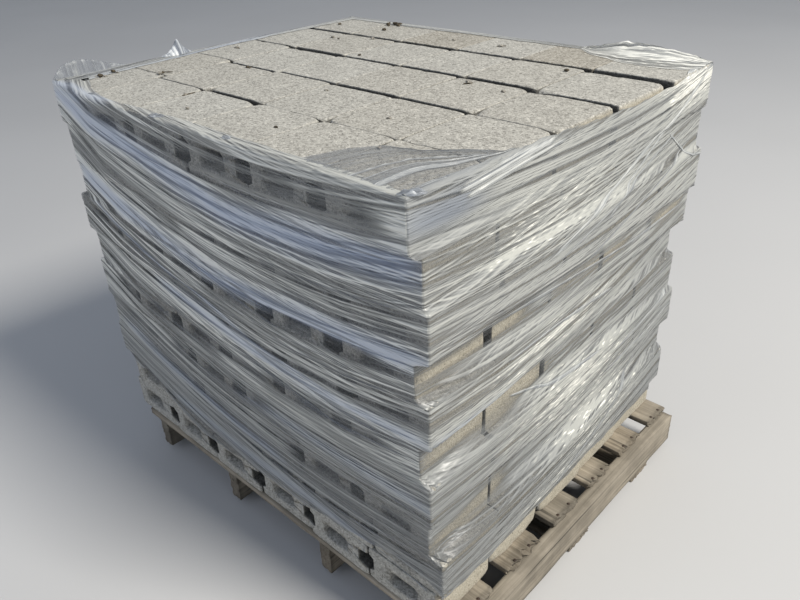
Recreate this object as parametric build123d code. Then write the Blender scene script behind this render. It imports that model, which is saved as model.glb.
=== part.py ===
from build123d import *
import math
import os

# One block, in millimetres: it lies on its face shell, with its core running along Y
block_length = 199
block_depth = 195
block_height = 99.7
core_width = 83
core_height = 43
core_corner = 8
recess_mouth = 52
recess_floor = 38
left_recess = 14
right_recess = 32

# The stack: six blocks along X, five rows along Y, ten layers
columns = 6
rows = 5
layers = 10
end_gap = 3
row_gap = 8
bed_gap = 0.3
end_wander = 0.5
row_wander = 3
twist = 0.4
wander_seed = (2.3, 4.1, 1.7)
core_clearance = 0.3

# How far each layer slid along X at its near and far row, from the lowest layer up
near_slides = (8, 26, -4, 6, -22, 6, -19, 16, 1, -12)
far_slides = (-14, 6, -14, 6, -6, -24, 4, 18, 6, 14)

# How far the near row of the lower layers bulges out, from the lowest up, and each column's share
near_bulges = (0, 0, 0, 4, 9, 15, 20, 22, 23)
bulge_shares = (0, 0.9, 1, 1, 0.9, 0.3)

# The open joints between the rows of the top layer, nearest first, each from -X to +X
top_gaps = (
    (4, 5, 14, 1.5, 1.5, 3),
    (4, 10, 10, 18, 15, 4),
    (8, 26, 15, 18, 22, 14),
    (20, 18, 22, 18.5, 17.5, 34.5))
top_twist = 0.15

# The pallet: deck boards along X on four stringers along Y
deck_length = 1208
deck_depth = 1016
deck_setback = 47
deck_thickness = 18
deck_board_widths = (165, 130, 112, 104, 108, 97)
stringer_width = 38
stringer_height = 89
stringer_inset = 53
stringer_steps = (354, 381)
stringer_overhang = 25
bottom_board_width = 95
bottom_board_thickness = 18
bottom_board_count = 3
bottom_board_inset = 130

# The stretch film, as a thin skin
film_thickness = 1
film_clearance = 0.3
film_lift = 75
film_lap = 36
film_dip = 68

# Places that follow from the sizes
pitch_x = block_length + end_gap
pitch_y = block_depth + row_gap
pitch_z = block_height + bed_gap
twist_reach_x = block_depth / 2 * math.sin(math.radians(twist))
twist_reach_y = block_length / 2 * math.sin(math.radians(twist))
loose_x = end_wander + twist_reach_x
loose_y = row_wander + twist_reach_y
stack_half_x = (columns * pitch_x - end_gap) / 2
stack_half_y = (rows * pitch_y - row_gap) / 2
slides = near_slides + far_slides
skew_reach = max(abs(far - near) for near, far in zip(near_slides, far_slides)) * (
    block_depth / (2 * stack_half_y))
loose_half_y = stack_half_y + row_wander
film_room_x = stack_half_x + loose_x + skew_reach + film_clearance
film_room_y = loose_half_y + twist_reach_y + film_clearance
stringer_bottom = bottom_board_thickness
deck_bottom = stringer_bottom + stringer_height
deck_top = deck_bottom + deck_thickness
stack_top = deck_top + layers * pitch_z
stringer_run = deck_length + stringer_overhang


def top_joints(column):
    """The open joints of one column of the top layer; past the last one the lists start again"""
    return [top_gaps[line % len(top_gaps)][column % len(top_gaps[0])] for line in range(rows - 1)]


def near_bulge(layer, column):
    """How far a column stands out on the near side; in the top layer its open joints push it out"""
    if layer == layers - 1:
        return rows * block_depth + sum(top_joints(column)) - 2 * loose_half_y
    return near_bulges[layer % len(near_bulges)] * bulge_shares[column % len(bulge_shares)]


def widest_bulge(layer):
    return max([0] + [near_bulge(layer, column) for column in range(columns)])


# The origin is under the middle of the whole load, so the stack stands off it by this much
deck_start = deck_setback - stack_half_x
film_reach = film_room_x + film_thickness
left_reach = min(min(slides) - film_reach, deck_start)
right_reach = max(max(slides) + film_reach, deck_start + deck_length, deck_start + stringer_run)
stack_x = -(left_reach + right_reach) / 2
deck_left = stack_x + deck_start
film_reach_y = film_room_y + film_thickness
near_reach = max(film_reach_y + max(widest_bulge(layer) for layer in range(layers)), deck_depth / 2)
stack_y = (near_reach - max(film_reach_y, deck_depth / 2)) / 2


def recess(depth, end_x, inward):
    """The shallow trough in a block's end, narrower at its floor"""
    mouth_x = end_x - inward
    floor_x = end_x + inward * depth
    return make_face(Polyline(
        (mouth_x, -recess_mouth / 2), (floor_x, -recess_floor / 2),
        (floor_x, recess_floor / 2), (mouth_x, recess_mouth / 2), close=True))


def block(left_depth, right_depth):
    """One block about its own centre; a depth of 0 leaves that end plain"""
    section = Rectangle(block_length, block_height)
    if left_depth:
        section -= recess(left_depth, -block_length / 2, 1)
    if right_depth:
        section -= recess(right_depth, block_length / 2, -1)
    opening = Rectangle(core_width, core_height)
    opening = chamfer(opening.vertices(), core_corner)
    section -= Pos((left_depth - right_depth) / 2, 0) * opening
    return extrude(Plane.XZ * section, block_depth / 2, both=True)


def wander(column, row, layer, turn):
    """A number from -1 to 1 that differs from block to block"""
    a, b, c = wander_seed
    return math.sin(a * column + b * row + c * layer + turn)


def layer_slides(layer):
    """How far a layer's near row and its far row slid; past the last one the lists start again"""
    return near_slides[layer % len(near_slides)], far_slides[layer % len(far_slides)]


def top_row_y(column, row):
    """The middle of a block in the top layer, whose rows stand apart by their measured gaps"""
    near_y = -loose_half_y - near_bulge(layers - 1, column)
    return near_y + (row + 0.5) * block_depth + sum(top_joints(column)[:row])


def block_place(column, row, layer):
    """Where a block lies: every layer slid its own way, and no block lies quite true"""
    near, far = layer_slides(layer)
    x = stack_x + (column - (columns - 1) / 2) * pitch_x + near + (far - near) * row / (rows - 1)
    x += end_wander * wander(column, row, layer, 0)
    z = deck_top + layer * pitch_z + bed_gap + block_height / 2
    if layer == layers - 1:
        y, turn = top_row_y(column, row), top_twist
    else:
        y = (row - (rows - 1) / 2) * pitch_y + row_wander * wander(column, row, layer, 1)
        y -= near_bulge(layer, column) if row == 0 else 0
        turn = twist
    return Pos(x, stack_y + y, z) * Rot(0, 0, turn * wander(column, row, layer, 2))


def block_layer(layer, kinds):
    """The blocks of one layer: all of the top one, and the outer ring of each other"""
    blocks = []
    for row in range(rows):
        for column in range(columns):
            outer = row in (0, rows - 1) or column in (0, columns - 1)
            if outer or layer == layers - 1:
                kind = 0 if column == 0 else 2 if column == columns - 1 else 1
                blocks.append(block_place(column, row, layer) * kinds[kind])
    return Compound(children=blocks)


def hidden_core():
    """One plain body for the blocks inside the ring, under the top layer"""
    slide = max(abs(value) for value in slides)
    half_x = ((columns - 2) * pitch_x + end_gap) / 2 - loose_x - slide - core_clearance
    half_y = ((rows - 2) * pitch_y + row_gap) / 2 - loose_y - core_clearance
    height = (layers - 1) * pitch_z - bed_gap
    body = Box(2 * half_x, 2 * half_y, height)
    return Pos(stack_x, stack_y, deck_top + bed_gap + height / 2) * body


def board(length, width, thickness, left_x, near_y, bottom_z):
    """A sawn board given by its lowest corner"""
    corner = (Align.MIN, Align.MIN, Align.MIN)
    return Pos(left_x, near_y, bottom_z) * Box(length, width, thickness, align=corner)


def deck_boards():
    """The boards that the blocks stand on, with even gaps between uneven boards"""
    gap = (deck_depth - sum(deck_board_widths)) / (len(deck_board_widths) - 1)
    boards = []
    near_y = stack_y - deck_depth / 2
    for width in deck_board_widths:
        boards.append(board(deck_length, width, deck_thickness, deck_left, near_y, deck_bottom))
        near_y += width + gap
    return boards


def stringers():
    """The edge-on timbers under the deck; the last one stands out past the board ends"""
    places = [deck_left + stringer_inset]
    for step in stringer_steps:
        places.append(places[-1] + step)
    places.append(deck_left + stringer_run - stringer_width)
    return [board(stringer_width, deck_depth, stringer_height, left_x,
                  stack_y - deck_depth / 2, stringer_bottom) for left_x in places]


def bottom_boards():
    """The boards under the stringers, set in from the near and far edges"""
    length = stringer_run - stringer_inset
    span = deck_depth - 2 * bottom_board_inset - bottom_board_width
    boards = []
    for index in range(bottom_board_count):
        near_y = index * span / (bottom_board_count - 1) + bottom_board_inset - deck_depth / 2
        boards.append(board(length, bottom_board_width, bottom_board_thickness,
                            deck_left + stringer_inset, stack_y + near_y, 0))
    return boards


def film_outline(layer, margin, right_margin):
    """The film's face round one layer, following the layer's slide and its bulging near row"""
    near, far = layer_slides(layer)
    half_x, half_y = film_room_x + margin, film_room_y + margin
    right_x = film_room_x + right_margin
    left_end, right_end = (max(0, near_bulge(layer, column)) for column in (0, columns - 1))
    bulge = widest_bulge(layer)
    shoulder = film_room_x + end_gap - pitch_x
    return make_face(Polyline(
        (near - half_x, -half_y - left_end), (near - shoulder, -half_y - bulge),
        (near + shoulder, -half_y - bulge), (near + right_x, -half_y - right_end),
        (far + right_x, half_y), (far - half_x, half_y), close=True))


def film_tower(margin, lift):
    """The stack's outline grown by a margin, stepping at every layer"""
    tower = None
    for layer in range(layers):
        low = deck_top + layer * pitch_z
        low = deck_top + film_lift if layer == 0 else low - lift
        high = deck_top + (layer + 1) * pitch_z + lift
        ring = extrude(film_outline(layer, margin, margin), high - low)
        ring = Pos(stack_x, stack_y, low) * ring
        tower = ring if tower is None else tower + ring
    return tower


def stretch_film():
    """The film: a skin that steps with the layers, lapped over three top edges and dipping
    along the fourth"""
    skin = film_tower(film_thickness, film_clearance + film_thickness)
    skin -= film_tower(0, film_clearance)
    ceiling = stack_top + film_clearance
    window = film_outline(layers - 1, -film_lap, 2 * film_thickness)
    skin -= Pos(stack_x, stack_y, ceiling - film_thickness) * extrude(window, 3 * film_thickness)
    reach_y = film_room_y + max(0, near_bulge(layers - 1, columns - 1)) + 2 * film_thickness
    dip_line = ThreePointArc((-reach_y, 0), (0, -film_dip), (reach_y, 0))
    dip_area = make_face(dip_line + Polyline(
        (reach_y, 0), (reach_y, film_dip), (-reach_y, film_dip), (-reach_y, 0)))
    dip_from = max(layer_slides(layers - 1)) + film_room_x - film_lap
    dip = extrude(Plane.YZ * dip_area, 2 * film_lap)
    return skin - Pos(stack_x + dip_from, stack_y, ceiling) * dip


def main():
    os.makedirs("parts", exist_ok=True)
    nodes = {"stretch_film": stretch_film(), "core_blocks": hidden_core()}
    kinds = (block(0, right_recess), block(left_recess, right_recess), block(left_recess, 0))
    for layer in range(layers):
        nodes[f"block_layer_{layer + 1:02d}"] = block_layer(layer, kinds)
    for name, pieces in (("deck_board", deck_boards()), ("stringer", stringers()),
                         ("bottom_board", bottom_boards())):
        for index, piece in enumerate(pieces):
            nodes[f"{name}_{index + 1}"] = piece
    for name, shape in nodes.items():
        export_step(shape, f"parts/{name}.step")


main()
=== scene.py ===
from functools import partial

import bpy
import numpy as np
from mathutils import Matrix, Vector


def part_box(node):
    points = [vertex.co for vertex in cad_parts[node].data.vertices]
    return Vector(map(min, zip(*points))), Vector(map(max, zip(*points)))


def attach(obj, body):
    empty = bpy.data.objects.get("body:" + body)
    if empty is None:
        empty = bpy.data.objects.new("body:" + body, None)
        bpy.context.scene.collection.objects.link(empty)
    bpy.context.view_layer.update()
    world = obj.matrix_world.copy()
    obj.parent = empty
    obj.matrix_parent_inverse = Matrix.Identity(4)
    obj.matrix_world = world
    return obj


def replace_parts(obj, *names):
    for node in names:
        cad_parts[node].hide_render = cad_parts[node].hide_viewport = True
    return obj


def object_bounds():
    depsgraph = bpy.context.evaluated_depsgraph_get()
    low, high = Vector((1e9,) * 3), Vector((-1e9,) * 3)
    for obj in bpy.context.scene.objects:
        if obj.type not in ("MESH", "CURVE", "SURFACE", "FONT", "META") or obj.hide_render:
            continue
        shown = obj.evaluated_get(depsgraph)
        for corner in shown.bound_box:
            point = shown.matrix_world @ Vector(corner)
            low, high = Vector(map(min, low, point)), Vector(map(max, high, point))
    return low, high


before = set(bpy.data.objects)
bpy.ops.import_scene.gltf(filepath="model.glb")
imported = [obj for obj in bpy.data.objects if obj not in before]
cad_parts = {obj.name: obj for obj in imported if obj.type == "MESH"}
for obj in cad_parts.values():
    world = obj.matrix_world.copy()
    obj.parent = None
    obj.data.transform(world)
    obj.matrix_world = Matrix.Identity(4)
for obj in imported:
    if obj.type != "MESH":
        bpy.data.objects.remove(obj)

cadLow, cadHigh = [list(corner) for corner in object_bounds()]
mm = 0.001
layerNames = [f"block_layer_{index:02d}" for index in range(1, 11)]


# colours and node materials

def toLinear(hexColour):
    # sRGB to linear: c / 12.92 below 0.04045, and ((c + 0.055) / 1.055) ** 2.4 above
    parts = np.array([int(hexColour[i:i + 2], 16) for i in (1, 3, 5)]) / 255
    linear = np.where(parts <= 0.04045, parts / 12.92, ((parts + 0.055) / 1.055) ** 2.4)
    return (*linear.tolist(), 1.0)


def addNode(tree, kind, inputs=(), out=0, stops=(), **settings):
    # one node with its settings, colour stops and links; gives back one of its outputs
    node = tree.nodes.new("ShaderNode" + kind)
    for name, value in settings.items():
        setattr(node, name, value)
    for index, (place, shade) in enumerate(stops):
        point = node.color_ramp.elements[index] if index < 2 else node.color_ramp.elements.new(place)
        point.position = place
        point.color = toLinear(shade) if isinstance(shade, str) else (shade, shade, shade, 1)
    for socket, value in dict(inputs).items():
        if isinstance(value, bpy.types.NodeSocket):
            tree.links.new(value, node.inputs[socket])
        else:
            node.inputs[socket].default_value = toLinear(value) if isinstance(value, str) else value
    return node.outputs[out] if len(node.outputs) else None


blend = {"out": 2, "data_type": "RGBA"}  # settings of a node that mixes two colours
multiply = {**blend, "blend_type": "MULTIPLY"}


def startNodes(owner):
    # a material or world with an empty node tree, and the function that adds a node to it
    owner.use_nodes = True
    owner.node_tree.nodes.clear()
    return owner, partial(addNode, owner.node_tree)


def endMaterial(add, inputs):
    # the surface; values that are constant over it go straight on the shader's sockets
    add("OutputMaterial", {"Surface": add("BsdfPrincipled", inputs)})


def shadeBy(add, colour, layers):
    # a colour darkened in turn by each layer: where it comes from, its ramp and its share
    for source, stops, share in layers:
        shades = add("ValToRGB", {"Fac": source}, stops=stops)
        colour = add("Mix", {"Factor": share, 6: colour, 7: shades}, **multiply)
    return colour


# numbers that vary smoothly from place to place

def vectors(*parts):
    # numbers and arrays as the coordinates of points, spread to one shape
    return np.stack(np.broadcast_arrays(*parts), -1)


def latticeNoise(points, cell, seed):
    # random numbers -1 to 1 at the corners of cells of that size, blended by t * t * (3 - 2 t)
    scaled = np.asarray(points, float) / cell
    base = np.floor(scaled).astype(np.int64)
    part = scaled - base
    part = part * part * (3 - 2 * part)
    primes = np.array([73856093, 19349663, 83492791][:scaled.shape[-1]])
    total = 0
    for corner in np.ndindex(*(2,) * scaled.shape[-1]):
        mixed = ((base + corner) * primes).sum(-1) + seed * 15485863
        mixed = ((mixed ^ (mixed >> 15)) * 2246822519) & 0xFFFFFFFF
        mixed = ((mixed ^ (mixed >> 13)) * 3266489917) & 0xFFFFFFFF
        share = np.where(corner, part, 1 - part).prod(-1)
        total = total + share * ((mixed ^ (mixed >> 16)) / 2 ** 31 - 1)
    return total


def smoothStep(value, low, high):
    # 0 below low, 1 above high, and 3 t^2 - 2 t^3 between
    part = np.clip((value - low) / (high - low), 0, 1)
    return part * part * (3 - 2 * part)


# meshes from grids

def gridFaces(points, wrapRows=False, wrapColumns=False):
    # the corner numbers of each cell of a grid of points, turned to look outwards: the sum of
    # (a x b) . c / 6 over the triangles is the volume of a closed shape, and for a sheet it is
    # above 0 where the sheet looks away from the origin, which is inside the load; the first
    # corner of a turned cell says along which diagonal it is split
    rows, columns = points.shape[:2]
    i = np.arange(rows if wrapRows else rows - 1)[:, None]
    j = np.arange(columns if wrapColumns else columns - 1)[None, :]
    nextI, nextJ = (i + 1) % rows, (j + 1) % columns
    cells = [i * columns + j, i * columns + nextJ, nextI * columns + nextJ, nextI * columns + j]
    faces = vectors(*cells).reshape(-1, 4)
    a, b, c, d = np.moveaxis(points.reshape(-1, 3)[faces], 1, 0)
    turned = (3, 2, 1, 0) if wrapColumns else (0, 3, 2, 1)
    return faces[:, turned] if (np.cross(a, b) * c + np.cross(a, c) * d).sum() < 0 else faces


def joinParts(parts):
    # several (points, faces, attributes) as one, with each part's corner numbers moved up
    counts = [points.size // 3 for points, faces, values in parts]
    starts = np.cumsum([0] + counts[:-1])
    points = np.concatenate([points.reshape(-1, 3) for points, faces, values in parts])
    faces = np.concatenate([part[1] + start for part, start in zip(parts, starts)])
    values = {label: np.concatenate([part[2][label].reshape(count, -1) for part, count in zip(parts, counts)])
              for label in parts[0][2]}
    return points, faces, values


def makeMesh(name, shape, material, body="root", smooth=True):
    # a shape is its points, its quads and its attributes, each with a number or vector a point
    points, faces = np.asarray(shape[0], np.float32).reshape(-1, 3), np.asarray(shape[1], np.int32)
    mesh = bpy.data.meshes.new(name)
    mesh.vertices.add(len(points))
    mesh.vertices.foreach_set("co", points.ravel())
    mesh.loops.add(faces.size)
    mesh.loops.foreach_set("vertex_index", faces.ravel())
    mesh.polygons.add(len(faces))
    mesh.polygons.foreach_set("loop_start", np.arange(0, faces.size, faces.shape[1], dtype=np.int32))
    mesh.polygons.foreach_set("use_smooth", np.full(len(faces), smooth))
    for label, values in shape[2].items():
        values = np.asarray(values, np.float32).ravel()
        single = values.size == len(points)
        layer = mesh.attributes.new(label, "FLOAT" if single else "FLOAT_VECTOR", "POINT")
        layer.data.foreach_set("value" if single else "vector", values)
    mesh.update(calc_edges=True)
    mesh.materials.append(material)
    piece = bpy.data.objects.new(name, mesh)
    bpy.context.scene.collection.objects.link(piece)
    if body:
        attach(piece, body)
    return piece


# where the blocks lie, read from the frame

def solidsOf(node):
    # the corner points of each separate solid in a CAD node, as a list of arrays
    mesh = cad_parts[node].data
    points = np.empty(len(mesh.vertices) * 3, np.float32)
    mesh.vertices.foreach_get("co", points)
    mesh.calc_loop_triangles()
    triangles = np.empty(len(mesh.loop_triangles) * 3, np.int32)
    mesh.loop_triangles.foreach_get("vertices", triangles)
    points, same = np.unique(points.reshape(-1, 3).round(5), axis=0, return_inverse=True)
    triangles = same.reshape(-1)[triangles].reshape(-1, 3)
    labels, before = np.arange(len(points)), None
    while not np.array_equal(labels, before):  # each pass hands the lowest label on to the neighbours
        before, labels = labels, labels.copy()
        np.minimum.at(labels, triangles.ravel(), np.repeat(before[triangles].min(1), 3))
        labels = labels[labels]
    return [points[labels == label] for label in np.unique(labels)]


def turnBy(points, angle):
    # points turned about Z: x' = x cos - y sin, y' = x sin + y cos
    x, y, z = np.moveaxis(np.asarray(points, float), -1, 0)
    cosine, sine = np.cos(angle), np.sin(angle)
    return vectors(x * cosine - y * sine, x * sine + y * cosine, z)


def placeOf(corners):
    # a block's middle, half sizes and turn, and the depth of the recess in its left and right end
    middle = corners.mean(0)
    far = corners[corners[:, 1] > middle[1]].mean(0)
    near = corners[corners[:, 1] < middle[1]].mean(0)
    turn = np.arctan2(near[0] - far[0], far[1] - near[1])
    flat = turnBy(corners - middle, -turn)
    low, high = flat.min(0), flat.max(0)
    inMouth = abs(flat[:, 2] - (low[2] + high[2]) / 2) < blockLook["mouth"] / 2 + 3 * mm
    left = (inMouth & (flat[:, 0] < low[0] + mm)).any()
    right = (inMouth & (flat[:, 0] > high[0] - mm)).any()
    return {"middle": middle + turnBy((low + high) / 2, turn), "half": (high - low) / 2, "turn": turn,
            "left": left * blockLook["leftRecess"], "right": right * blockLook["rightRecess"]}


# the blocks

blockLook = {
    "mouth": 52 * mm, "floor": 38 * mm, "leftRecess": 14 * mm, "rightRecess": 32 * mm,
    "coreWide": 83 * mm, "coreHigh": 43 * mm, "coreCorner": 8 * mm,
    "arris": 1.0 * mm, "crumble": 1.6 * mm, "crumbleCell": 9 * mm,
    "chip": 6 * mm, "chipCell": 27 * mm, "chipFrom": 0.5, "cornerLoss": 4 * mm,
    # how far in from a free face the painted shade and dirt between blocks begins and is full, and on a ledge
    "relief": 0.45 * mm, "reliefCell": 13 * mm, "shadeAndDirtFrom": 0.5 * mm, "shadeAndDirtTo": 3.5 * mm,
    "ledgeFrom": 22 * mm, "ledgeTo": 48 * mm, "outerRow": 60 * mm,
    "pitch": 205 * mm, "brownRow": 350 * mm, "brownTones": {2: 0.85, 4: 0.95},
    # where the points of a block's grid lie, in the two bare layers and in the wrapped ones
    "bare": {"top": 30, "bottom": 14, "leave": (0, 0.06, 0.14, 0.5), "reach": (0, 0.5, 0.86, 0.94),
             "slant": (0, 0.5), "flat": (0, 0.33, 0.67), "along": 25, "edges": (0.7, 1.8, 5),
             "rings": (0.03, 0.12, 0.3, 0.65)},
    "wrapped": {"top": 14, "bottom": 9, "leave": (0, 0.14, 0.5), "reach": (0, 0.5, 0.86), "slant": (0,),
                "flat": (0, 0.5), "along": 13, "edges": (1.5, 6), "rings": (0.05, 0.15, 0.5)},
    # broken corners: x, y, z, reach and depth in mm
    "broken": [(-34, -321, 1125, 20, 11), (181, -321, 1125, 24, 13), (416, -306, 1125, 18, 10),
               (396, -101, 1125, 22, 13), (406, 94, 1125, 24, 14), (-232, -316, 1125, 15, 8),
               (-428, -113, 1125, 22, 10), (586, -117, 1125, 26, 14), (574, -317, 1125, 22, 10),
               (593, 300, 1125, 22, 10), (592, -295, 215, 40, 16), (586, -100, 140, 45, 18),
               (586, -280, 135, 30, 14), (583, -60, 225, 35, 12), (593, -492, 130, 30, 10)],
}


def blockOutline(place, grid):
    # the section's outline in XZ from the top left corner round by the right, as shares of the
    # way along each side; the long sides crowd their points near the corners by (1 - cos) / 2
    w, _, h = place["half"]
    m, f = blockLook["mouth"] / 2, blockLook["floor"] / 2
    right, left = w - place["right"], place["left"] - w
    corners = np.array([(-w, h), (w, h), (w, m), (right, f), (right, -f), (w, -m),
                        (w, -h), (-w, -h), (-w, -m), (left, -f), (left, f), (-w, m)])
    top, bottom = [0.5 - 0.5 * np.cos(np.pi * np.arange(n) / n) for n in (grid["top"], grid["bottom"])]
    end = [grid[stretch] for stretch in ("leave", "slant", "flat", "slant", "reach")]
    return np.concatenate([
        np.outer(1 - np.array(share), start) + np.outer(share, stop)
        for start, stop, share in zip(corners, np.roll(corners, -1, axis=0), [top, *end, bottom, *end])])


def roundArrises(points, half, radius, least, where=True):
    # a point p that lies over least away from the nearest point q of the box inside the
    # arrises is pulled to q + r (p - q) / |p - q|
    inner = np.clip(points, -(half - radius), half - radius)
    out = points - inner
    length = np.linalg.norm(out, axis=-1, keepdims=True)
    return np.where((length > least) & where, inner + out * radius / np.maximum(length, 1e-9), points)


def arrisRadius(points, half, world, seed):
    # how far a block's edges are worn: a small arris, more at crumbled, chipped and broken spots
    look = blockLook
    wear = latticeNoise(world + seed, look["chipCell"], seed)
    radius = look["arris"] + look["chip"] * smoothStep(wear, look["chipFrom"], 1.0)
    radius = radius + look["crumble"] * np.maximum(latticeNoise(world, look["crumbleCell"], seed + 3), 0) ** 2
    corner = smoothStep(abs(points / half).sum(-1), 2.75, 3.0)
    radius = radius + corner * look["cornerLoss"] * (1 + wear)
    for x, y, z, reach, depth in look["broken"]:
        away = (world / mm - (x, y, z)) / reach
        radius = radius + depth * mm * np.exp(-(away ** 2).sum(-1))
    return np.minimum(radius, 0.45 * half[2])[..., None]


def blockGrid(place, grid, seed, exposed):
    # one closed grid: the outline runs along Y, turns in over the far end to the core, back
    # along Y inside the core and out over the near end, and then its arrises are rounded
    half = place["half"]
    outline = blockOutline(place, grid)
    coreX = (place["left"] - place["right"]) / 2
    wide, high = blockLook["coreWide"] / 2, blockLook["coreHigh"] / 2
    ray = outline - (coreX, 0)
    x, z = abs(ray.T)
    reach = np.maximum(np.maximum(x / wide, z / high), (x + z) / (wide + high - blockLook["coreCorner"]))
    core = ray / reach[:, None] + (coreX, 0)
    edges = 1 - np.array(grid["edges"]) * mm / half[1]
    along = np.unique(np.concatenate([np.linspace(-1, 1, grid["along"]), edges, -edges]))
    rings, inside = np.array(grid["rings"]), np.linspace(1, -1, 5)
    share = np.concatenate([0 * along, rings, 0 * inside + 1, rings[::-1]])[:, None]
    y = np.concatenate([along, 0 * rings + 1, inside, 0 * rings - 1])[:, None] * half[1]
    flat = outline * (1 - share)[..., None] + core * share[..., None]
    points = vectors(flat[..., 0], y, flat[..., 1])
    world = points + place["middle"]
    jointShadeAndDirt = paintJointShadeAndDirt(points, half, share, exposed)
    radius = arrisRadius(points, half, world, seed)
    points = roundArrises(points, half, radius, radius * 0.999)
    jitter = [latticeNoise(world, blockLook["reliefCell"], seed + 7 + axis) for axis in range(3)]
    points = points + blockLook["relief"] * vectors(*jitter)
    rightFace = smoothStep(points[..., 0] / half[0], 0.96, 0.985) * (share == 0)
    ends = rightFace * exposed["right"] * smoothStep(half[2] - points[..., 2], 2 * mm, 6 * mm)
    return turnBy(points, place["turn"]) + place["middle"], ends, jointShadeAndDirt


def paintJointShadeAndDirt(points, half, share, exposed):
    # painted shade between blocks, with their dirt: 0 on the faces that stand free and 1 a few mm in
    # from them, on the faces between blocks; a top face stays clean further in, as far as the layer
    # above has slid off it; inside a core it darkens up to 0.85
    x, y, z = np.moveaxis(points, -1, 0)
    away = {"top": half[2] - z, "right": half[0] - x, "left": half[0] + x, "near": half[1] + y,
            "far": half[1] - y}
    depth = np.minimum.reduce([0 * x + 0.1] + [distance for side, distance in away.items() if exposed[side]])
    hidden = smoothStep(depth, blockLook["shadeAndDirtFrom"], blockLook["shadeAndDirtTo"])
    ledge = smoothStep(depth, blockLook["ledgeFrom"], blockLook["ledgeTo"])
    hidden = np.where(z > half[2] - mm, ledge, hidden)
    return np.where(share == 1, 0.85 * smoothStep(depth, -0.02, 0.06), hidden)


def blockTone(place, chance, top):
    # 0 cool grey to 1 brown; in the top layer two blocks of the far row are the brown ones
    tone = 0.05 + 0.35 * chance
    if top and place["middle"][1] > blockLook["brownRow"]:
        column = round((place["middle"][0] - cadLow[0]) / blockLook["pitch"] - 0.5)
        tone = blockLook["brownTones"].get(column, tone)
    return tone


def makeBlocks(node, material, seed):
    top = node == layerNames[-1]
    grid = blockLook["bare" if top or node == layerNames[0] else "wrapped"]
    places = [placeOf(corners) for corners in solidsOf(node)]
    rowsY = np.array([place["middle"][1] for place in places])
    randoms = np.random.default_rng(seed)
    parts = []
    for index, place in enumerate(places):
        exposed = {"top": top, "left": not place["left"], "right": not place["right"],
                   "near": rowsY[index] < rowsY.min() + blockLook["outerRow"],
                   "far": rowsY[index] > rowsY.max() - blockLook["outerRow"]}
        points, ends, jointShadeAndDirt = blockGrid(place, grid, seed * 50 + index, exposed)
        tone = np.full(ends.shape, blockTone(place, randoms.random(), top))
        faces = gridFaces(points, wrapRows=True, wrapColumns=True)
        parts.append((points, faces, {"tone": tone, "ends": ends, "jointShadeAndDirt": jointShadeAndDirt}))
    piece = makeMesh(node + "_concrete", joinParts(parts), material)
    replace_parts(piece, node)
    return places


concreteLook = {
    # the joints' painted shade and dirt darken the colour down to 0.30
    "paste": "#AFAEA7", "brown": "#8B8271", "warm": "#B9B09A", "shadeAndDirt": 0.30,
    "grit": [(0.0, "#6C6A65"), (0.2, "#97958E"), (0.5, "#B4B2AA"), (0.8, "#C0BEB5"), (1.0, "#DBD8CE")],
    # sizes in mm of the grains, of the pits that show as dark pores, of specks and of clouds
    "grain": 4.3, "pits": (6, 3.0, 0.7), "specks": (2.4, 2.0, 0.5), "clouds": (70, 5.0, 0.65),
}


def concreteMaterial(name, darkening):
    # dry-cast concrete, pressed and steam cured: a dull open-pored face of grey cement paste,
    # dark pits and cream grains of about 4 mm, so it reads as speckled warm grey
    look = concreteLook
    material, add = startNodes(bpy.data.materials.new(name))
    place = add("TexCoord", out="Object")
    tone, ends, jointShadeAndDirt = [add("Attribute", out="Fac", attribute_name=label)
                         for label in ("tone", "ends", "jointShadeAndDirt")]
    grit, apart = [add("TexVoronoi", {"Vector": place, "Scale": 1 / (look["grain"] * mm)}, out=out)
                   for out in ("Color", 0)]
    pits, speck, cloud = [
        add("TexNoise", {"Vector": place, "Scale": 1 / (size * mm), "Detail": detail, "Roughness": rough})
        for size, detail, rough in (look["pits"], look["specks"], look["clouds"])]
    paste = add("Mix", {"Factor": tone, 6: look["paste"], 7: look["brown"]}, **blend)
    grey = add("SeparateColor", {"Color": grit})
    grains = add("ValToRGB", {"Fac": grey}, stops=look["grit"])
    colour = add("Mix", {"Factor": 0.55, 6: paste, 7: grains}, **blend)
    tan = add("Math", {0: ends, 1: 0.6}, operation="MULTIPLY")
    colour = add("Mix", {"Factor": tan, 6: colour, 7: look["warm"]}, **blend)
    # the last layer is painted shade, with dirt: faces between blocks, ledges under the layer above and cores
    # go darker
    layers = [(cloud, [(0.3, 0.86), (0.7, 1.0)], 1.0), (pits, [(0.31, 0.30), (0.42, 1.0)], 0.85),
              (speck, [(0.33, 0.70), (0.64, 1.08)], 1.0), (jointShadeAndDirt, [(0.0, 1.0), (1.0, look["shadeAndDirt"])], 1.0)]
    # below 1, painted shade darkens the whole concrete
    if darkening < 1:
        layers.append((cloud, [(0.3, darkening * 0.8), (0.7, darkening)], 1.0))
    colour = shadeBy(add, colour, layers)
    rough = add("Math", {0: pits, 1: 1.5}, operation="MULTIPLY")
    height = add("Math", {0: apart, 1: -0.7, 2: rough}, operation="MULTIPLY_ADD")
    bump = add("Bump", {"Strength": 0.75, "Distance": 1.2 * mm, "Height": height})
    endMaterial(add, {"Roughness": 0.93, "Specular IOR Level": 0.25, "Base Color": colour, "Normal": bump})
    return material


concrete = concreteMaterial("Dry-cast block concrete", 1.0)
blockPlaces = [makeBlocks(name, concrete, index + 3) for index, name in enumerate(layerNames)]
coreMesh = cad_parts["core_blocks"].data  # the hidden middle of the stack keeps its CAD solid
coreMesh.materials.clear()
# the middle lies in shade, so its concrete is painted darker, to 0.35
coreMesh.materials.append(concreteMaterial("Dry-cast concrete with painted shade deep in the stack", 0.35))
print("blocks done:", [len(places) for places in blockPlaces])


# the timber

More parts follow.
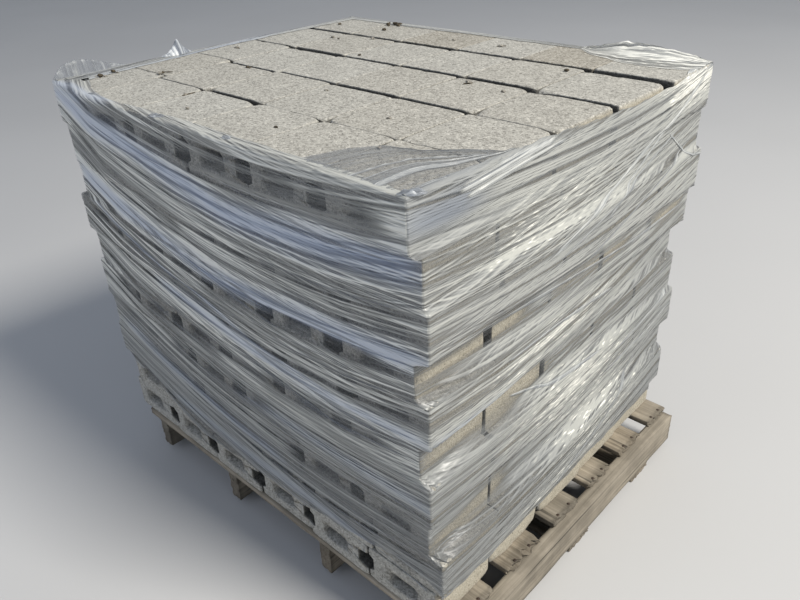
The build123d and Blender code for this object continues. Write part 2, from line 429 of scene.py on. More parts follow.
timberLook = {
    "arris": 1.6 * mm, "alongStep": 12 * mm, "aroundStep": 4 * mm, "relief": 0.8 * mm, "check": 1.6 * mm,
    "stretch": 0.06,  # the grain runs along the board
    # how each end closes: how far in along the board, in shares of its length and mm, and its size
    "tip": ([1, 1, 1, 1], [0.6, 2]), "shrink": [0, 0.4, 0.8, 0.97, 1, 1],
    "grains": {"x": (4.0, 150.0, 150.0), "y": (150.0, 4.0, 150.0)},  # 6.7 mm wide, 250 mm long
    "wood": [(0.25, "#6A6255"), (0.45, "#978C7A"), (0.62, "#B0A593"), (0.8, "#C1B7A7")],
    "grey": "#8B867B", "torn": (10, 26, 8, 14, 8, 10),  # how ragged each deck board's ends are, in mm
}


def boardGrid(low, high, seed, fray):
    # a rounded bar along its longest side: each ring is the rectangle's outline with rounded
    # corners, the ends close on a point, and the faces waver with the saw, the grain and checks
    look, half, middle = timberLook, (high - low) / 2, (high + low) / 2
    axis = int(np.argmax(half))
    across = [(axis + 1) % 3, (axis + 2) % 3]
    a, b = sides = half[across]
    ta, tb = [np.linspace(-1, 1, max(5, int(size / look["aroundStep"])) + 1)[:-1] for size in sides]
    outline = np.concatenate([vectors(ta * a, -b), vectors(a, tb * b),
                              vectors(-ta * a, b), vectors(-a, -tb * b)])
    count = int(2 * half[axis] / look["alongStep"])
    ends, insets = look["tip"]
    tip = np.concatenate([ends, 1 - np.array(insets) * mm / half[axis]])
    along = np.concatenate([-tip, np.linspace(-0.992, 0.992, count), tip[::-1]])
    shrink = np.concatenate([look["shrink"], np.ones(count), look["shrink"][::-1]])[:, None]
    points = np.zeros((len(along), len(outline), 3))
    points[..., across] = outline * shrink[..., None]
    points[..., axis] = along[:, None] * half[axis]
    radius = look["arris"] * (1.4 + latticeNoise(points + middle, 60 * mm, seed))[..., None]
    points = roundArrises(points, half, radius, radius, (shrink > 0.9)[..., None])
    grain = points + middle
    grain[..., axis] *= look["stretch"]
    relief = np.minimum(latticeNoise(grain, 5 * mm, seed + 1), 0.3) - 0.3
    check = -smoothStep(latticeNoise(grain, 11 * mm, seed + 5), 0.55, 0.8)
    side = points / half
    side[..., axis] = 0
    points = points + side * (look["relief"] * relief + look["check"] * check)[..., None]
    tips = smoothStep(abs(points[..., axis]) / half[axis], 1 - 1.4 * fray / half[axis], 1)
    torn = np.clip(0.5 + 0.9 * latticeNoise(grain, 6 * mm, seed + 2), 0, 1)
    torn = np.where(shrink > 0, torn, 0.5)
    points[..., axis] -= np.sign(points[..., axis]) * tips * torn * fray
    return points + middle, axis


def makeTimber(node, material, seed, fray):
    low, high = np.array(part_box(node))
    points, axis = boardGrid(low, high, seed, fray)
    faces = gridFaces(points, wrapColumns=True)
    fromMiddle = abs(points[..., axis] - (low[axis] + high[axis]) / 2)
    edge = (high[axis] - low[axis]) / 2 - fray
    values = {"tips": smoothStep(fromMiddle, edge - 9 * mm, edge - mm),
              "shade": np.full(fromMiddle.shape, (seed * 0.618) % 1)}
    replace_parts(makeMesh(node + "_timber", (points, faces, values), material), node)


def timberMaterial(alongAxis):
    # rough-sawn softwood left outdoors: dry grey-tan wood with raised grain a few mm apart,
    # so the light catches long fine ridges and the checks and sawn ends stay dark
    look = timberLook
    material, add = startNodes(bpy.data.materials.new(f"Weathered rough-sawn softwood {alongAxis}"))
    place = add("TexCoord", out="Object")
    shade, tips = [add("Attribute", out="Fac", attribute_name=label) for label in ("shade", "tips")]
    shifted = add("VectorMath", {0: place, 1: shade}, operation="ADD")
    grainPlace = add("Mapping", {"Vector": shifted, "Scale": look["grains"][alongAxis]})
    grain, broad, checks, stain = [
        add("TexNoise", {"Vector": where, "Scale": scale, "Detail": detail, "Roughness": rough,
                         "Distortion": bent}) for where, scale, detail, rough, bent in (
            (grainPlace, 1.0, 5.0, 0.65, 0.4), (grainPlace, 0.22, 2.0, 0.5, 0.0),
            (grainPlace, 0.55, 1.0, 0.5, 0.0), (place, 9.0, 5.0, 0.6, 0.0))]
    colour = add("ValToRGB", {"Fac": grain}, stops=look["wood"])
    grey = add("Math", {0: shade, 1: 0.6}, operation="MULTIPLY")
    colour = add("Mix", {"Factor": grey, 6: colour, 7: look["grey"]}, **blend)
    colour = shadeBy(add, colour, [
        (broad, [(0.35, 0.76), (0.65, 1.05)], 1.0), (stain, [(0.4, 0.66), (0.62, 1.0)], 0.85),
        (checks, [(0.27, 0.35), (0.34, 1.0)], 0.8), (tips, [(0.0, 1.0), (1.0, 0.62)], 1.0)])
    bump = add("Bump", {"Strength": 0.8, "Distance": 1.2 * mm, "Height": grain})
    endMaterial(add, {"Roughness": 0.88, "Specular IOR Level": 0.3, "Base Color": colour, "Normal": bump})
    return material


timberX, timberY = timberMaterial("x"), timberMaterial("y")
for number, torn in enumerate(timberLook["torn"], 1):
    makeTimber(f"deck_board_{number}", timberX, number, torn * mm)
for number in range(1, 4):
    makeTimber(f"bottom_board_{number}", timberX, number + 10, 4 * mm)
for number in range(1, 5):
    makeTimber(f"stringer_{number}", timberY, number + 20, 3 * mm)
print("timber done")


# the stretch film: where its taut surface lies

filmLook = {
    "off": 1.0 * mm, "cornerRadius": 2.5 * mm, "arrisRadius": 4 * mm, "drawIn": (2.6, 0.9),
    "columnStep": 15 * mm, "rows": 290, "sideSamples": 61, "heightStep": 2 * mm,
    "ridge": 0.55 * mm, "fine": 0.35 * mm, "swell": 0.9 * mm, "jag": 2.0 * mm, "jagCell": 9 * mm,
    # the film's lower edge, as places along each side and heights below the top, in mm
    "lower": [([0, 63, 348, 785, 1123, 1200], [-835, -831, -925, -907, -860, -886]),
              ([0, 27, 245, 465, 579, 1000], [-900, -940, -948, -945, -952, -950]),
              ([0, 360, 720, 1200], [-950, -905, -930, -885]),
              ([0, 500, 1000], [-885, -920, -835])],
    # how far it laps in over the top, where below 0 it stops under the arris
    "lap": [([0, 200, 600, 1100, 1200], [12, 18, 28, 24, 10]),
            ([0, 60, 200, 375, 600, 720, 850, 890, 930, 1030], [14, 12, 6, -2, -8, -12, -4, 4, 12, 14]),
            ([0, 150, 600, 1100, 1200], [14, 30, 30, 36, 34]),
            ([0, 120, 600, 900, 1030], [34, 36, 28, 15, 9])],
}
sideNormals = np.array([(0, -1), (1, 0), (0, 1), (-1, 0)])  # near, right, far, left
sideTangents = np.array([(1, 0), (0, 1), (-1, 0), (0, -1)])


def tautLine(along, out, samples):
    # the line of a film pulled over points: at each sample the highest chord of any two points
    low, high = np.minimum(along[:, None], along), np.maximum(along[:, None], along)
    width = np.where(high > low, high - low, 1)
    slope = np.sign(along - along[:, None]) * (out - out[:, None]) / width
    startOut = np.where(along[:, None] <= along, out[:, None], out[None])
    chord = startOut[..., None] + slope[..., None] * (samples - low[..., None])
    inside = (samples >= low[..., None] - 1e-6) & (samples <= high[..., None] + 1e-6)
    return np.where(inside, chord, -1).max((0, 1))


def sideReaches():
    # how far out the film lies on each side, at even shares along it and at each height: the
    # furthest of all the layers, each drawn in by drawIn * the height away from it, which is
    # sharp at the corners and gentle between them
    shares = np.linspace(0, 1, filmLook["sideSamples"])
    sharp, gentle = filmLook["drawIn"]
    drawIn = sharp + (gentle - sharp) * smoothStep(np.minimum(shares, 1 - shares), 0, 0.12)
    reaches = np.full((4, filmLook["sideSamples"], len(heights)), -1e9)
    for places in blockPlaces:
        half = places[0]["half"]
        box = np.array([(-1, -1, 0), (1, -1, 0), (1, 1, 0), (-1, 1, 0)]) * half
        corners = np.concatenate([turnBy(box, place["turn"]) + place["middle"] for place in places])[:, :2]
        low, high = places[0]["middle"][2] - half[2], places[0]["middle"][2] + half[2]
        away = np.maximum(np.maximum(low - heights, heights - high), 0)
        for side in range(4):
            along, out = corners @ sideTangents[side], corners @ sideNormals[side]
            outer = out > out.max() - 0.06
            along, out = along[outer], out[outer]
            line = tautLine(along, out, np.linspace(along.min(), along.max(), filmLook["sideSamples"]))
            reaches[side] = np.maximum(reaches[side], line[:, None] - drawIn[:, None] * away)
    return reaches


stackTop = blockPlaces[-1][0]["middle"][2] + blockPlaces[-1][0]["half"][2]
stackFloor = blockPlaces[0][0]["middle"][2] - blockPlaces[0][0]["half"][2]
heights = np.arange(stackFloor - 0.02, stackTop + 0.02, filmLook["heightStep"])
reachTable = sideReaches()
meanEnds = reachTable.mean(2)  # the corners at their mean reach give the length of each side
sideLengths = np.array([meanEnds[(side + 1) % 4, 0] + meanEnds[side - 1, -1] for side in range(4)])
sideStarts = np.concatenate([[0], np.cumsum(sideLengths)])
girth = sideStarts[-1]


def alongSides(s):
    # which side of the load (0 near, 1 right, 2 far, 3 left) and the share of the way along it
    s = np.asarray(s) % girth
    side = np.clip(np.searchsorted(sideStarts, s, side="right") - 1, 0, 3)
    return side, (s - sideStarts[side]) / sideLengths[side]


def reachAt(side, share, z):
    # the table of reaches read between its entries, along the side and up
    across = np.clip(share, 0, 1) * (filmLook["sideSamples"] - 1.001)
    up = np.clip((z - heights[0]) / filmLook["heightStep"], 0, len(heights) - 1.001)
    i, j = across.astype(int), up.astype(int)
    u, v = across - i, up - j
    low = reachTable[side, i, j] * (1 - u) + reachTable[side, i + 1, j] * u
    high = reachTable[side, i, j + 1] * (1 - u) + reachTable[side, i + 1, j + 1] * u
    return low * (1 - v) + high * v


def onFilm(s, path, lift):
    # the point of the skin at s round the load and path up it: below 0 it is under the top
    # arris, above 0 it has turned over it; lift is outward, and each upright corner is an arc
    s, path, lift = np.broadcast_arrays(s, path, lift)
    side, share = alongSides(s)
    length, radius = sideLengths[side], filmLook["cornerRadius"]
    part = share * length
    turn = np.clip((part - length + radius) / radius, 0, 1) - np.clip((radius - part) / radius, 0, 1)
    normal, tangent = sideNormals[side], sideTangents[side]
    facing = (normal * np.cos(turn * np.pi / 4)[..., None] + tangent * np.sin(turn * np.pi / 4)[..., None])
    bend = filmLook["arrisRadius"]
    start = path + bend * np.pi / 4
    angle = np.clip(start / bend, 0, np.pi / 2)
    z = stackTop - bend + np.minimum(start, 0) + bend * np.sin(angle)
    inward = bend * (1 - np.cos(angle)) + np.maximum(path - bend * np.pi / 4, 0)
    straight = np.clip(part, radius, length - radius) / length
    low, high = -reachAt((side + 3) % 4, 0 * share + 1, z), reachAt((side + 1) % 4, 0 * share, z)
    out = reachAt(side, straight, z)
    flat = normal * out[..., None] + tangent * (low * (1 - straight) + high * straight)[..., None]
    flat = flat + radius * (facing - normal) + facing * (lift * np.cos(angle) - inward)[..., None]
    return vectors(flat[..., 0], flat[..., 1], z + lift * np.sin(angle))


# the strands: two families of film turns that cross each other

def strandRise(s, steep):
    # how much higher than at the near right corner a strand runs at s, for each side in turn
    side, a = alongSides(s)
    if steep:
        near, right = 0.23 * (1 - a) ** 1.8, 0.22 * a ** 1.7
        far, left = 0.22 - 0.16 * a - 0.04 * a * (1 - a), 0.06 + 0.17 * a ** 1.5
    else:
        near, right = 0.10 * (1 - a) ** 2 - 0.175 * a * (1 - a), -0.12 * a * (1 - a) + 0.02 * a ** 2
        far, left = 0.02 + 0.03 * a - 0.05 * a * (1 - a), 0.05 + 0.05 * a - 0.06 * a * (1 - a)
    return np.choose(side, [near, right, far, left])


def meanRise(s):
    return 0.6 * strandRise(s, False) + 0.4 * strandRise(s, True)


def strandPlace(s, path, steep):
    # a place in the strands' own space: round a circle of the same girth, and up from the strand
    angle = 2 * np.pi * s / girth
    radius = girth / (2 * np.pi)
    return vectors(radius * np.cos(angle), radius * np.sin(angle), path - strandRise(s, steep))


def filmLift(s, path):
    # ridges of gathered film along the strands, (1 - |noise|) cubed, over long soft swells, and
    # a ragged jag down each upright corner where the film bites on the block ends
    look, level = filmLook, path - meanRise(s)
    ridges = 1 - abs(latticeNoise(vectors(s / 9, level), 13 * mm, 11))
    fine = 1 - abs(latticeNoise(vectors(s / 14, level + 0.03 * s), 7 * mm, 12))
    swell = 0.5 + 0.5 * latticeNoise(vectors(s / 2.5, level), 75 * mm, 13)
    side, share = alongSides(s)
    toCorner = np.minimum(share, 1 - share) * sideLengths[side]
    jag = 0.5 + 0.5 * latticeNoise(vectors(side + np.round(share), path), look["jagCell"], 14)
    relief = look["ridge"] * ridges ** 3 + look["fine"] * fine ** 3 + look["swell"] * swell
    relief = relief + look["jag"] * jag * (1 - smoothStep(toCorner, 2 * mm, 14 * mm))
    return look["off"] + relief * smoothStep(-path, -0.05, 0.0)


bandLook = {
    # bands of gathered or missing film: side, half width in mm, strength (below 0 clears it),
    # bluish share, and the places it runs through, in mm along the side and up from the top
    "bands": [
        (0, 30, 0.60, 0.60, [(0, -20), (700, -150), (1200, -125)]),
        (0, 22, 0.45, 0.55, [(20, -230), (600, -330), (1200, -310)]),
        (0, 6, 0.70, 0.40, [(100, -300), (330, -370), (700, -460), (1000, -490)]),
        (0, 16, 0.45, 0.40, [(350, -440), (900, -500), (1190, -490)]),
        (0, 14, 0.35, 0.20, [(600, -660), (1220, -650)]),
        (0, 18, 0.35, 0.30, [(60, -680), (250, -740), (700, -800)]),
        (0, 16, 0.30, 0.20, [(250, -850), (1200, -900)]),
        (0, 14, 0.55, 0.40, [(0, 6), (300, 10)]),
        (0, 24, -0.66, 0, [(560, -50), (800, -62), (1150, -62)]),
        (0, 24, -0.70, 0, [(600, -372), (780, -362), (900, -352), (1100, -345)]),
        (0, 20, -0.62, 0, [(120, -530), (270, -545), (420, -545), (560, -560)]),
        (0, 22, -0.62, 0, [(760, -565), (860, -555), (1000, -548), (1120, -545)]),
        (0, 22, -0.66, 0, [(800, -745), (920, -742), (1050, -738), (1200, -735)]),
        (0, 18, -0.60, 0, [(240, -28), (400, -40), (560, -48)]),
        (0, 16, 0.35, 0.45, [(0, -12), (180, -16)]),
        (0, 20, -0.50, 0, [(80, -110), (300, -190), (480, -230)]),
        (0, 18, -0.50, 0, [(330, -640), (700, -655)]),
        (1, 34, -0.10, 0.16, [(0, -38), (70, -42), (150, -30)]),
        (1, 27, -0.92, 0, [(0, -356), (150, -354), (320, -346)]),
        (1, 18, -0.60, 0, [(420, -352), (720, -345)]),
        (1, 24, -0.80, 0, [(820, -340), (960, -335)]),
        (1, 34, -0.92, 0, [(0, -552), (200, -545), (400, -535)]),
        (1, 26, -0.75, 0, [(0, -755), (150, -752), (240, -748)]),
        (1, 12, 0.30, 0.30, [(0, -500), (260, -512)]),
        (1, 30, 0.25, 0, [(200, -180), (800, -60)]),
        (1, 14, 0.60, 0.10, [(860, 4), (930, 8), (1030, 8)])],
    # soft noise in the cover, on the hidden sides and on the two in view
    "drift": (0.55, 0.18), "driftSeed": 31, "rimMilk": 0.15, "hiddenBlue": 0.5,
    "sideCover": (1.2, 1.5, 1.3, 1.25),
    "sideHazeAndPaintedLight": (1.08, 0.58, 0.9, 0.95),  # how milky each side's film is, set lighter or darker by side as painted light
    # painted shade at the rim and towards the bottom, and the painted highlight of the glints
    "rimPaintedShade": 0.35, "glintHaze": 0.40, "lowPaintedShade": 0.55, "waver": 0.5,
    # painted highlights, patches of bright crinkles on the right side: middle and half sizes in mm,
    # and strength, below 0 for smooth darker ones
    "glints": [(520, -640, 260, 60, 0.9), (330, -150, 240, 60, 0.5), (660, -800, 240, 90, 0.9),
               (380, -900, 220, 40, 0.5),
               (930, -20, 130, 50, 1.0), (420, -455, 300, 34, 0.8), (760, -240, 220, 50, 0.2),
               (85, -48, 110, 36, -1.1), (560, -250, 260, 26, -0.35), (900, -450, 160, 120, -0.25)],
}


def filmCover(s, path):
    # how much film lies at a place: about 1, more along bands by their strength times
    # exp(-d^2) at d half widths away, less along cleared ones, and soft noise along the strands
    look = bandLook
    side, share = alongSides(s)
    along = share * sideLengths[side] / mm
    cover = np.choose(side, look["sideCover"]) + 0 * path
    blue, paintedShine = 0 * cover, 0 * cover
    # bright patches on the right side are painted highlights; below 0 they paint it darker
    for x, z, wide, high, strength in look["glints"]:
        spread = ((along - x) / wide) ** 2 + ((path / mm - z) / high) ** 2
        paintedShine = paintedShine + np.where(side == 1, strength * np.exp(-spread), 0)
    level = path - meanRise(s)
    waver = look["waver"] * latticeNoise(vectors(s / 7, level), 26 * mm, 33)
    for bandSide, width, strength, bluish, places in look["bands"]:
        x, z = np.array(places, float).T
        distance = (path / mm - np.interp(along, x, z)) / width + waver
        fade = smoothStep(along, x[0] - 60, x[0] + 40) * (1 - smoothStep(along, x[-1] - 40, x[-1] + 60))
        weight = np.where(side == bandSide, np.exp(-distance ** 2) * fade, 0)
        cover = cover * (1 + min(strength, 0) * weight) + max(strength, 0) * weight
        blue = np.maximum(blue, bluish * weight)
    hidden = side >= 2
    drift = latticeNoise(vectors(s / 6, level), 60 * mm, look["driftSeed"])
    cover = cover + np.where(hidden, *look["drift"]) * drift
    blue = np.maximum(blue, look["hiddenBlue"] * hidden * smoothStep(drift, 0.3, 0.8))
    rim = smoothStep(path, -6 * mm, 1 * mm)
    # the haze sets how light the film is: by side, lower towards the bottom and at the rim, higher at the
    # glints, as painted light and shade
    haze = np.choose(side, look["sideHazeAndPaintedLight"]) * (1 - look["lowPaintedShade"] * smoothStep(-path, 0.3, 1.0))
    return {"cover": np.clip(cover, 0.06, 2.2) + look["rimMilk"] * rim, "band": np.clip(blue, 0, 1),
            "glint": np.clip(paintedShine, 0, 1), "fade": np.ones(cover.shape),
            "haze": (haze + look["glintHaze"] * paintedShine) * (1 - look["rimPaintedShade"] * rim),
            "strandGentle": strandPlace(s, path, False), "strandSteep": strandPlace(s, path, True)}


# the film's material

filmColours = {
    # the thin film's dark grey paints the shade seen through it
    "thin": "#5E6163", "lines": "#858786", "gathered": "#A9AAA4", "white": "#E2E1D8", "blue": "#9CABC6",
    # each pattern: strand family, scale round and up (1 / m), detail, and the ramp's two ends;
    # the five streaks end on their weight, the slots of painted shade and the painted glints on the
    # ramp's lowest value
    "streaks": [("strandGentle", 0.5, 26, 2.0, 0.40, 0.66, 0.28),
                ("strandGentle", 0.8, 110, 2.0, 0.42, 0.68, 0.50),
                ("strandGentle", 1.1, 250, 1.0, 0.42, 0.66, 0.60),
                ("strandSteep", 0.7, 85, 2.0, 0.46, 0.70, 0.50),
                ("strandSteep", 1.1, 270, 1.0, 0.45, 0.67, 0.55)],
    "paintedShadeSlots": ("strandGentle", 0.7, 56, 3.0, 0.37, 0.50, 0.12),
    "glints": ("strandGentle", 30, 260, 1.0, 0.58, 0.72, 0.0),
    "veil": 0.24, "thick": 0.76, "bandVeil": 0.20, "bump": 2.5 * mm,
}


def filmMaterial():
    # linear low-density polyethylene stretch film, blown and pulled tight in many turns: each
    # turn gathers into strands, clear where it lies in one layer and milky where it bunches
    look = filmColours
    material, add = startNodes(bpy.data.materials.new("Polyethylene stretch film"))
    cover, band, fade, glint, haze = [add("Attribute", out="Fac", attribute_name=label)
                                      for label in ("cover", "band", "fade", "glint", "haze")]
    streaks = look["streaks"]
    noises, ramps = [], []
    for index, (family, around, up, detail, start, end, last) in enumerate(
            [*streaks, look["paintedShadeSlots"], look["glints"]]):
        place = add("Attribute", out="Vector", attribute_name=family)
        turned = add("Mapping", {"Vector": place, "Location": (index * 3.7, index * 1.3, index * 5.1),
                                 "Scale": (around, around, up)})
        noises.append(add("TexNoise", {"Vector": turned, "Scale": 1.0, "Detail": detail, "Roughness": 0.55}))
        lowest = last if index >= len(streaks) else 0.0
        ramps.append(add("ValToRGB", {"Fac": noises[-1]}, stops=[(start, lowest), (end, 1.0)]))
    milk = "#000000"
    for lines, streak in zip(ramps, streaks):
        milk = add("Mix", {"Factor": streak[-1], 6: milk, 7: lines}, **{**blend, "blend_type": "SCREEN"})
    height = noises[1]
    for noise in noises[2:len(streaks)]:
        height = add("Math", {0: height, 1: noise}, operation="ADD")
    # the slots paint dark lines of shade between the strands
    paintedShadeSlots, paintedSparks = ramps[-2:]
    milk = add("Math", {0: milk, 1: paintedShadeSlots}, operation="MULTIPLY")
    # the sparks are painted glints, where the glint patches lie
    paintedSparks = add("Math", {0: paintedSparks, 1: glint}, operation="MULTIPLY")
    alpha = add("Math", {0: milk, 1: look["thick"], 2: look["veil"]}, operation="MULTIPLY_ADD")
    alpha = add("Math", {0: alpha, 1: cover}, operation="MULTIPLY")
    alpha = add("Math", {0: band, 1: look["bandVeil"], 2: alpha}, operation="MULTIPLY_ADD", use_clamp=True)
    alpha = add("Math", {0: alpha, 1: fade}, operation="MULTIPLY")
    milk = add("Math", {0: milk, 1: cover}, operation="MULTIPLY", use_clamp=True)
    # the haze makes the film lighter or darker where painted light and shade are set
    milk = add("Math", {0: milk, 1: haze, 2: paintedSparks}, operation="MULTIPLY_ADD", use_clamp=True)
    colour = add("ValToRGB", {"Fac": milk}, stops=[
        (0.0, look["thin"]), (0.35, look["lines"]), (0.7, look["gathered"]), (1.0, look["white"])])
    colour = add("Mix", {"Factor": band, 6: colour, 7: look["blue"]}, **blend)
    bump = add("Bump", {"Strength": 0.9, "Distance": look["bump"], "Height": height})
    endMaterial(add, {"Roughness": 0.34, "IOR": 1.5, "Specular IOR Level": 0.4, "Base Color": colour,
                      "Alpha": alpha, "Normal": bump})
    return material


film = filmMaterial()


# the skin of the film

def makeSkin():
    # rows follow the strands from the lower edge to the lap, columns go round with three at
    # each upright corner's arc
    look, radius = filmLook, filmLook["cornerRadius"]
    arc = radius * np.array([-0.5, 0, 0.5])
    s = np.sort(np.concatenate([part for start, length in zip(sideStarts, sideLengths) for part in (
        np.linspace(start + radius, start + length - radius, int(length / look["columnStep"])),
        start + length + arc)]) % girth)
    side, share = alongSides(s)
    along = share * sideLengths[side] / mm
    lower, lap = [np.choose(side, [np.interp(along, *pair) for pair in look[edge]]) * mm
                  for edge in ("lower", "lap")]
    flat = vectors(s, 0)
    lower = lower + 5 * mm * latticeNoise(flat, 45 * mm, 5) + 2 * mm * latticeNoise(flat, 17 * mm, 6)
    lap = lap + 3.5 * mm * latticeNoise(flat, 60 * mm, 7) + 2.5 * mm * latticeNoise(flat, 19 * mm, 8)
    levels = np.linspace(0, 1, look["rows"])
    level = lower[:, None] + (lap - lower)[:, None] * levels
    hold = smoothStep(levels, 0, 0.12) * smoothStep(1 - levels, 0, 0.10)
    path = np.maximum.accumulate(level + meanRise(s)[:, None] * hold, axis=1)
    wide = np.broadcast_to(s[:, None], path.shape)
    points = onFilm(wide, path, filmLift(wide, path))
    return points, gridFaces(points, wrapRows=True), filmCover(wide, path)


skinShape = makeSkin()
skin = makeMesh("film_wrap", skinShape, film)
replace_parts(skin, "stretch_film")
print("film skin done:", len(skinShape[1]) * 2)


def spreadValues(shape, **values):
    # the film's attributes on a grid of that shape; a vector keeps its own last axis
    return {label: np.broadcast_to(value, (*shape, 3) if label.startswith("strand") else shape)
            for label, value in values.items()}


# ropes of bunched film on the skin

ropeLook = {
    # each side's haze is painted light, lowest on the right
    "across": 5, "along": 64, "seed": 17, "seeded": 44, "haze": (0.9, 0.75, 0.8, 0.8),
    # side, width and lift in mm, strength, and the places each runs through
    "drawn": [
        (1, 14, 3.0, 1.25, [(330, -250), (600, -180), (860, -80), (985, -10)]),
        (1, 9, 2.5, 1.1, [(560, -240), (700, -170), (830, -100)]),
        (1, 7, 2.0, 1.0, [(380, -262), (640, -205), (900, -120)]),
        (1, 11, 2.5, 1.1, [(700, -650), (850, -620), (1000, -590)]),
        (1, 8, 2.0, 1.0, [(640, -690), (860, -672), (1010, -640)]),
        (1, 30, 5.0, 1.5, [(110, -26), (180, -20), (240, -14), (300, -10), (380, -8)]),
        (1, 14, 4.0, 1.5, [(130, -42), (200, -34), (290, -24), (420, -16)]),
        (1, 10, 2.0, 1.0, [(20, -322), (300, -335), (700, -352), (1000, -338)]),
        (1, 12, 2.5, 1.1, [(230, -428), (420, -434), (700, -462)]),
        (1, 9, 2.5, 1.1, [(270, -545), (420, -590), (640, -602)]),
        (1, 8, 2.0, 1.0, [(840, -120), (960, -205), (1030, -215)]),
        (1, 12, 2.0, 0.9, [(420, -905), (650, -850), (880, -740)]),
        (0, 6, 1.6, 0.9, [(100, -300), (330, -370), (700, -460), (1000, -490)]),
        (0, 8, 1.6, 0.8, [(40, -225), (300, -290), (620, -325), (1180, -322)]),
        (0, 7, 1.6, 0.8, [(350, -440), (900, -560), (1190, -545)]),
        (0, 7, 1.6, 0.8, [(300, -60), (700, -128), (1190, -122)]),
        (0, 6, 1.4, 0.8, [(600, -662), (1210, -682)]),
        (0, 6, 1.4, 0.8, [(760, -845), (1050, -880), (1190, -905)]),
        (0, 7, 1.6, 0.8, [(80, -690), (250, -742), (600, -790), (1180, -815)])],
}


def ropeGrid(side, width, lift, strength, places):
    # an arched ribbon along a smooth line of places, with lift (1 - q^2) at q across it, and
    # both its width and its cover fading to its ends
    x, z = np.array(places, float).T
    t = np.linspace(0, 1, ropeLook["along"])
    knots = np.linspace(0, 1, len(x))
    smooth = t if len(x) < 3 else t - 0.12 * np.sin(2 * np.pi * t) / np.pi
    kernel = np.hanning(13) / np.hanning(13).sum()
    lines = [np.interp(smooth, knots, line) for line in (x, z)]
    padded = [np.concatenate([2 * line[0] - line[6:0:-1], line, 2 * line[-1] - line[-2:-8:-1]])
              for line in lines]
    along, up = [np.convolve(line, kernel, mode="valid")[:, None] for line in padded]
    q, t = np.linspace(-1, 1, ropeLook["across"]), t[:, None]
    ends = np.sin(np.pi * t) ** 0.5
    wander = 1 + 0.35 * latticeNoise(vectors(along * mm, up * mm), 40 * mm, 9)
    offset = q * width * wander * (0.35 + 0.65 * ends) / 2
    rise, run = np.gradient(up, axis=0), np.gradient(along, axis=0)
    slope = rise / np.maximum(np.hypot(run, rise), 1e-6)
    s = sideStarts[side] + (along - offset * slope) * mm
    path = (up + offset * np.sqrt(1 - slope ** 2)) * mm
    points = onFilm(s, path, filmLift(s, path) + 0.25 * mm + lift * mm * (1 - q ** 2) * ends)
    # the ropes carry a little painted glint and their side's painted light in the haze
    values = spreadValues(
        s.shape, cover=strength, band=0.12, glint=0.2, haze=ropeLook["haze"][side],
        fade=(1 - 0.75 * q ** 4) * smoothStep(np.minimum(t, 1 - t), 0, 0.10),
        strandGentle=vectors(s, 0, offset * mm * 1.5 + 0.1 * side), strandSteep=strandPlace(s, path, True))
    return points, gridFaces(points), values


def seededRopes():
    # more ropes that follow the strands, most of them on the two hidden sides
    randoms = np.random.default_rng(ropeLook["seed"])
    ropes = []
    for _ in range(ropeLook["seeded"]):
        side = (2, 3, 0, 1)[min(3, int(randoms.random() * 3.2))]
        length = sideLengths[side] / mm
        start, span = randoms.uniform(0, 0.6) * length, randoms.uniform(0.25, 0.6) * length
        along = np.linspace(max(start, 15), min(start + span, length - 15), 5)
        steep = randoms.random() < 0.45
        rise = strandRise(sideStarts[side] + along * mm, steep) / mm
        up = np.clip(randoms.uniform(-820, -110) + rise, -850, -25)
        ropes.append((side, randoms.uniform(4, 11), randoms.uniform(1.2, 2.4), randoms.uniform(0.7, 1.1),
                      list(zip(along, up))))
    return ropes


ropeParts = [ropeGrid(*rope) for rope in ropeLook["drawn"] + seededRopes()]
ropes = makeMesh("film_strands", joinParts(ropeParts), film)
print("film ropes done")


# loose flaps of film at the top

flapLook = {
    "near": {"corner": (0.5745, -0.5135), "creases": 7, "crease": 3.0 * mm, "off": 1.2 * mm,
             "edge": [(0.577, -0.2285), (0.5725, -0.2635), (0.520, -0.2885), (0.450, -0.3405),
                      (0.3785, -0.3595), (0.340, -0.4085), (0.300, -0.5150)]},
    "hood": {"x": [0.270, 0.306, 0.386, 0.430, 0.480, 0.540, 0.572, 0.600],
             "ridge": [1, 6, 25, 24, 21, 12, 6, 3],  # mm above the top
             "inner": [0.4815, 0.455, 0.4215, 0.408, 0.4035, 0.408, 0.420, 0.4415],
             # it has risen at one share of the way in, and falls from the other
             "outer": 0.5215, "crease": 3.5 * mm, "rise": 0.22, "fall": 0.30},
    # folds that stand on the left rim: y, height and depth in mm, cover, band, and haze, which paints light
    "standing": [
        ("film_flap_left", [(-190, 0), (-168, 8), (-152, 22), (-139, 40), (-127, 22), (-112, 8), (-95, 0)],
         34, 0.9, 0.30, 1.1),
        ("film_flap_corner",
         [(-492, 0), (-478, 20), (-455, 34), (-420, 38), (-385, 30), (-340, 14), (-290, 0)],
         14, 0.35, 0.15, 0.9)],
    "tufts": [(-0.130, -0.519, 0.020, 0.4), (0.110, -0.516, 0.016, -0.3), (0.569, -0.506, 0.024, 0.8),
              (-0.420, -0.512, 0.014, 0.1)],
}


def flapValues(along, across, cover, band, haze=0.6):
    # the film's attributes on a flap, with its creases running along
    place = vectors(along, 0, across)
    return spreadValues(place.shape[:-1], cover=cover, band=band, fade=1.0, glint=0.0, haze=haze,
                        strandGentle=place, strandSteep=place + (0.4, 0.3, 0.2))


def makeFlap(name, points, values):
    # a flap is one grid of film, a mesh of its own
    faces = gridFaces(points)
    piece = makeMesh(name, (points, faces, values), film)


